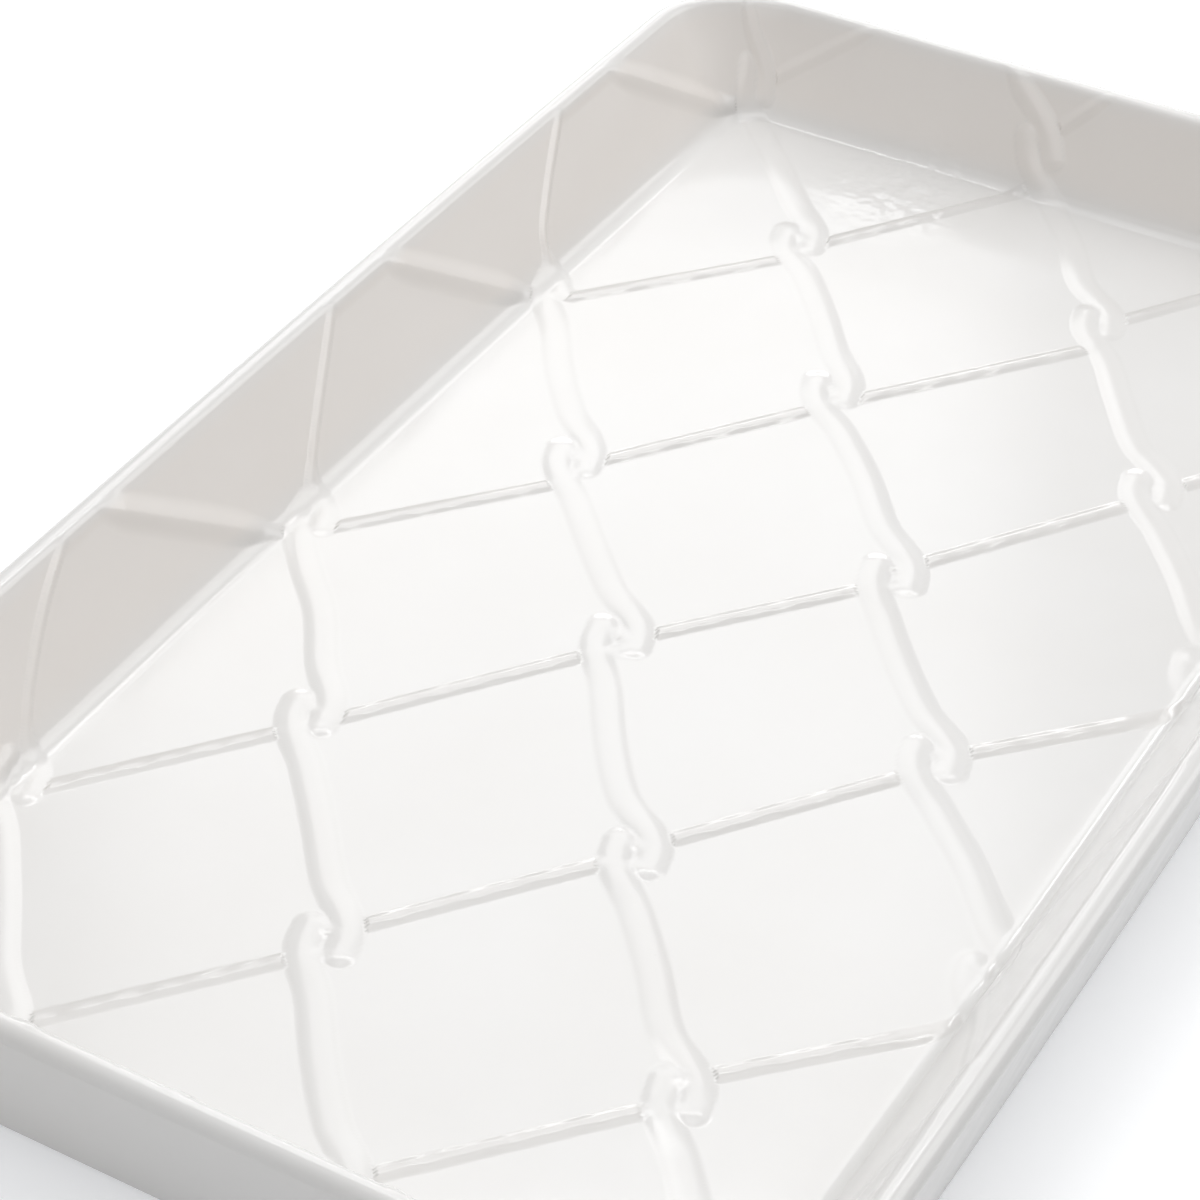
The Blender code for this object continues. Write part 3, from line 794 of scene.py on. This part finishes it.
def body_piece():
    """The tray itself: floor, walls, rim, drafted outside, foot and recessed underside."""
    places, vertices, painted_bounce, faces = {}, [], [], []

    def vertex(place, is_inner):
        key = tuple(np.round(place, MERGE_DIGITS))
        if key not in places:
            places[key] = len(vertices)
            vertices.append(key)
            # painted warm bounce light on the inner side
            painted_bounce.append(float(painted_bounce_share(*key)) if is_inner else 0.0)
        return places[key]

    rings, inner_count = body_rings()
    numbers = [[vertex(place, k < inner_count) for place in ring] for k, ring in enumerate(rings)]
    for low, high in zip(numbers, numbers[1:]):
        for k in range(len(low)):
            after = (k + 1) % len(low)
            face = [low[k], high[k], high[after], low[after]]
            face = [v for i, v in enumerate(face) if v != face[i - 1]]
            if len(face) > 2:
                faces.append(face)
    for height, upward in ((FLOOR_HEIGHT, True), (RECESS_DEPTH, False)):
        grid = [[vertex(place, upward) for place in row] for row in flat_rows(height)]
        for upper, lower in zip(grid, grid[1:]):
            for k in range(FLOOR_STEPS_ACROSS):
                face = [upper[k], upper[k + 1], lower[k + 1], lower[k]]
                faces.append(face if upward else face[::-1])
    piece = piece_from("glazed_tray_body", np.array(vertices), faces)
    # painted warm bounce light on the inner walls
    give_values(piece, "painted_warm_bounce", painted_bounce)
    return piece


# Nodes of the materials

def grey(level):
    return (level, level, level)


BLACK, WHITE = grey(0), grey(1)


def new_material(name):
    """A material with its node tree, its shader and the place on the object."""
    material = bpy.data.materials.new(name)
    material.use_nodes = True
    tree = material.node_tree
    place = tree.nodes.new("ShaderNodeTexCoord").outputs["Object"]
    return material, tree, tree.nodes["Principled BSDF"], place


def noise(tree, place, scale, detail):
    texture = tree.nodes.new("ShaderNodeTexNoise")
    texture.inputs["Scale"].default_value = scale
    texture.inputs["Detail"].default_value = detail
    tree.links.new(place, texture.inputs["Vector"])
    return texture.outputs["Fac"]


def ramp(tree, source, stops):
    """Colours for a value, between two stops: each is a position and a colour."""
    node = tree.nodes.new("ShaderNodeValToRGB")
    for element, (position, colour) in zip(node.color_ramp.elements, stops):
        element.position, element.color = position, (*colour, 1)
    tree.links.new(source, node.inputs["Fac"])
    return node.outputs["Color"]


def combined(tree, way, first, second):
    node = tree.nodes.new("ShaderNodeMath")
    node.operation = way
    tree.links.new(first, node.inputs[0])
    tree.links.new(second, node.inputs[1])
    return node.outputs["Value"]


def mixed(tree, factor, under, over, way="MIX"):
    node = tree.nodes.new("ShaderNodeMix")
    node.data_type = "RGBA"
    node.blend_type = way
    node.inputs["B"].default_value = (*over, 1)
    tree.links.new(factor, node.inputs["Factor"])
    tree.links.new(under, node.inputs["A"])
    return node.outputs["Result"]


def distance_from(tree, place, centre):
    node = tree.nodes.new("ShaderNodeVectorMath")
    node.operation = "DISTANCE"
    node.inputs[1].default_value = centre
    tree.links.new(place, node.inputs[0])
    return node.outputs["Value"]


def point_value(tree, name):
    node = tree.nodes.new("ShaderNodeAttribute")
    node.attribute_name = name
    return node.outputs["Fac"]


def bumped(tree, height, strength, distance):
    node = tree.nodes.new("ShaderNodeBump")
    node.inputs["Strength"].default_value = strength
    node.inputs["Distance"].default_value = distance
    tree.links.new(height, node.inputs["Height"])
    return node


# Glaze: noises are a scale and a detail, and ramps are two stops

GLAZE_IOR = 1.5
CLOUD_NOISE = (28, 3)
CLOUD_STOPS = ((0.30, (0.842, 0.830, 0.814)), (0.70, (0.862, 0.855, 0.845)))
# painted warm bounce light: lightens and warms the inner walls
PAINTED_BOUNCE_TINT = (1.035, 1.0, 0.972)
# thin glaze and painted shade: greys the back runs and the front runs' feet
THIN_GLAZE_SHADE_COLOUR = (0.770, 0.755, 0.738)
SPECK_COLOUR = (0.30, 0.27, 0.25)
SPECK_SCALE = 70
SPECK_STOPS = ((0.009, WHITE), (0.016, BLACK))
RARE_STOPS = ((0.70, BLACK), (0.72, WHITE))
GLOSS_NOISE = (160, 2)
GLOSS_STOPS = ((0.35, grey(0.165)), (0.65, grey(0.19)))
UNEVEN_NOISE = (260, 2)
UNEVEN_STRENGTH = 0.25
UNEVEN_DEPTH = 0.000012
RIPPLE_PLACE = (-0.025, 0.1005, FLOOR_HEIGHT)
RIPPLE_STOPS = ((0.004, WHITE), (0.013, BLACK))
RIPPLE_NOISE = (380, 1)
RIPPLE_STRENGTH = 1
RIPPLE_DEPTH = 0.00065


def specks(tree, place):
    """1 in a few tiny specks, and 0 elsewhere."""
    cells = tree.nodes.new("ShaderNodeTexVoronoi")
    cells.inputs["Scale"].default_value = SPECK_SCALE
    tree.links.new(place, cells.inputs["Vector"])
    middle = ramp(tree, cells.outputs["Distance"], SPECK_STOPS)
    rare = ramp(tree, cells.outputs["Color"], RARE_STOPS)
    return combined(tree, "MULTIPLY", middle, rare)


def glaze(name):
    """Glossy white glaze over ceramic.

    It has faint clouds, painted warm bounce light on the inner walls, thin glaze and painted shade
    along the back runs and the front runs' feet, a few tiny specks, a soft unevenness, and ripples
    on the floor by the far wall.
    """
    material, tree, shader, place = new_material(name)
    shader.inputs["IOR"].default_value = GLAZE_IOR
    colour = ramp(tree, noise(tree, place, *CLOUD_NOISE), CLOUD_STOPS)
    # painted warm bounce light, multiplied in on the inner walls
    colour = mixed(tree, point_value(tree, "painted_warm_bounce"), colour, PAINTED_BOUNCE_TINT, "MULTIPLY")
    # thin glaze and painted shade along the back runs and the front runs' feet
    colour = mixed(tree, point_value(tree, "thin_glaze_and_shade"), colour, THIN_GLAZE_SHADE_COLOUR)
    colour = mixed(tree, specks(tree, place), colour, SPECK_COLOUR)
    tree.links.new(colour, shader.inputs["Base Color"])
    gloss = ramp(tree, noise(tree, place, *GLOSS_NOISE), GLOSS_STOPS)
    tree.links.new(gloss, shader.inputs["Roughness"])
    unevenness = noise(tree, place, *UNEVEN_NOISE)
    all_over = bumped(tree, unevenness, UNEVEN_STRENGTH, UNEVEN_DEPTH)
    patch = ramp(tree, distance_from(tree, place, RIPPLE_PLACE), RIPPLE_STOPS)
    ripples = combined(tree, "MULTIPLY", patch, noise(tree, place, *RIPPLE_NOISE))
    rippled = bumped(tree, ripples, RIPPLE_STRENGTH, RIPPLE_DEPTH)
    tree.links.new(all_over.outputs["Normal"], rippled.inputs["Normal"])
    tree.links.new(rippled.outputs["Normal"], shader.inputs["Normal"])
    return material


def finished(piece, node, material):
    """Glazes a piece and puts it in the place of its CAD node."""
    piece.data.materials.append(material)
    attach(piece, "root")
    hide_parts(node)


finished(body_piece(), "tray_body", glaze("body_glaze"))

wires, whole_wires, lift, fillet, thin_and_shade = relief()
grid_normals = relief_normals()
for wire in range(WIRE_COUNT):
    others = np.max([field for k, field in enumerate(wires) if k != wire], axis=0)
    node = "link_wire_%d" % (wire + 1)
    fields = (wires[wire], whole_wires[wire], others, lift, fillet, thin_and_shade, grid_normals)
    finished(wire_piece("glazed_" + node, *fields), node, glaze(node + "_glaze"))


# Camera, from the photograph's view of the tray's edges

PHOTO_SIZE_PIXELS = 1200
PHOTO_FOCUS_PIXELS = 3499.11
SENSOR_WIDTH_MM = 36
CLIP_START, CLIP_END = 0.01, 20
CAMERA_PLACE = (0.159625, -0.306450, 0.283347)
CAMERA_RIGHT = Vector((0.86378511, 0.50385347, 0.00263781))
CAMERA_UP = Vector((-0.31643469, 0.53839339, 0.78102602))
CAMERA_BACK = Vector((0.3921025, -0.67547334, 0.62449291))

camera_data = bpy.data.cameras.new("camera")
camera_data.sensor_width = SENSOR_WIDTH_MM
camera_data.lens = PHOTO_FOCUS_PIXELS * SENSOR_WIDTH_MM / PHOTO_SIZE_PIXELS
camera_data.clip_start, camera_data.clip_end = CLIP_START, CLIP_END
camera = bpy.data.objects.new("camera", camera_data)
rotation = Matrix((CAMERA_RIGHT, CAMERA_UP, CAMERA_BACK)).transposed()
camera.matrix_world = Matrix.Translation(CAMERA_PLACE) @ rotation.to_4x4()
bpy.context.scene.collection.objects.link(camera)
bpy.context.scene.camera = camera


# Table, backdrop and light

TABLE_TOP = -0.00005
TABLE_REACH = 4
TABLE_COLOUR = grey(0.80)
TABLE_ROUGHNESS = 0.6
GLOW_COLOUR = (0.94, 0.96, 1)
GLOW_STOPS = ((0.28, grey(0.35)), (0.80, grey(0.95)))
WORLD_STRENGTH = 0.20
BACKDROP_STRENGTH = 1

ORIGIN = (0, 0, 0)

# Lamps: place, what they point at, width and height, and power in watts
LAMPS = {
    "top_light": ((0.0, 0.0, 0.90), ORIGIN, (0.6, 0.6), 2.4),
    "near_light": ((0.0, -0.75, 0.55), ORIGIN, (0.6, 0.6), 1.3),
    "far_right_light": ((0.55, 0.55, 0.60), ORIGIN, (0.6, 0.6), 2.4),
    "softbox": ((-0.4523, 0.7089, 0.7050), (-0.0142, -0.0180, 0.0062), (0.40, 0.40), 1.4),
    "high_strip": ((-0.27, 0.47, 0.84), ORIGIN, (0.50, 0.10), 1.3),
    "low_strip": ((-0.47, 0.82, 0.33), ORIGIN, (0.50, 0.10), 1.1),
}


def seen_directly(tree):
    """1 for rays from the camera, off gloss or through glass, and 0 for rays that light things."""
    rays = tree.nodes.new("ShaderNodeLightPath").outputs
    either = combined(tree, "MAXIMUM", rays["Is Camera Ray"], rays["Is Glossy Ray"])
    return combined(tree, "MAXIMUM", either, rays["Is Transmission Ray"])


def table_material():
    """White table: it takes the tray's shadow, and turns into a plain backdrop further off."""
    material, tree, shader, place = new_material("table_white")
    shader.inputs["Base Color"].default_value = (*TABLE_COLOUR, 1)
    shader.inputs["Roughness"].default_value = TABLE_ROUGHNESS
    shader.inputs["Emission Color"].default_value = (*GLOW_COLOUR, 1)
    further = ramp(tree, distance_from(tree, place, ORIGIN), GLOW_STOPS)
    glow = combined(tree, "MULTIPLY", seen_directly(tree), further)
    tree.links.new(glow, shader.inputs["Emission Strength"])
    return material


def add_table():
    mesh = bpy.data.meshes.new("table")
    ways = ((-1, -1), (1, -1), (1, 1), (-1, 1))
    corners = [(TABLE_REACH * x, TABLE_REACH * y, TABLE_TOP) for x, y in ways]
    mesh.from_pydata(corners, [], [(0, 1, 2, 3)])
    mesh.materials.append(table_material())
    table = bpy.data.objects.new("table", mesh)
    bpy.context.scene.collection.objects.link(table)


def set_world():
    """White all round where it is seen, and plain weak light on everything."""
    world = bpy.data.worlds.new("studio")
    bpy.context.scene.world = world
    world.use_nodes = True
    tree = world.node_tree
    light = tree.nodes["Background"]
    shown = tree.nodes.new("ShaderNodeBackground")
    for background, strength in ((light, WORLD_STRENGTH), (shown, BACKDROP_STRENGTH)):
        background.inputs["Color"].default_value = (*WHITE, 1)
        background.inputs["Strength"].default_value = strength
    mix = tree.nodes.new("ShaderNodeMixShader")
    tree.links.new(seen_directly(tree), mix.inputs["Fac"])
    tree.links.new(light.outputs["Background"], mix.inputs[1])
    tree.links.new(shown.outputs["Background"], mix.inputs[2])
    tree.links.new(mix.outputs["Shader"], tree.nodes["World Output"].inputs["Surface"])


def area_light(name, place, target, size, power):
    data = bpy.data.lights.new(name, "AREA")
    data.shape = "RECTANGLE"
    data.size, data.size_y = size
    data.energy = power
    lamp = bpy.data.objects.new(name, data)
    lamp.location = place
    lamp.rotation_mode = "QUATERNION"
    lamp.rotation_quaternion = (Vector(target) - Vector(place)).to_track_quat("-Z", "Y")
    bpy.context.scene.collection.objects.link(lamp)


add_table()
set_world()
for name, values in LAMPS.items():
    area_light(name, *values)

bpy.context.scene.view_settings.view_transform = "Standard"
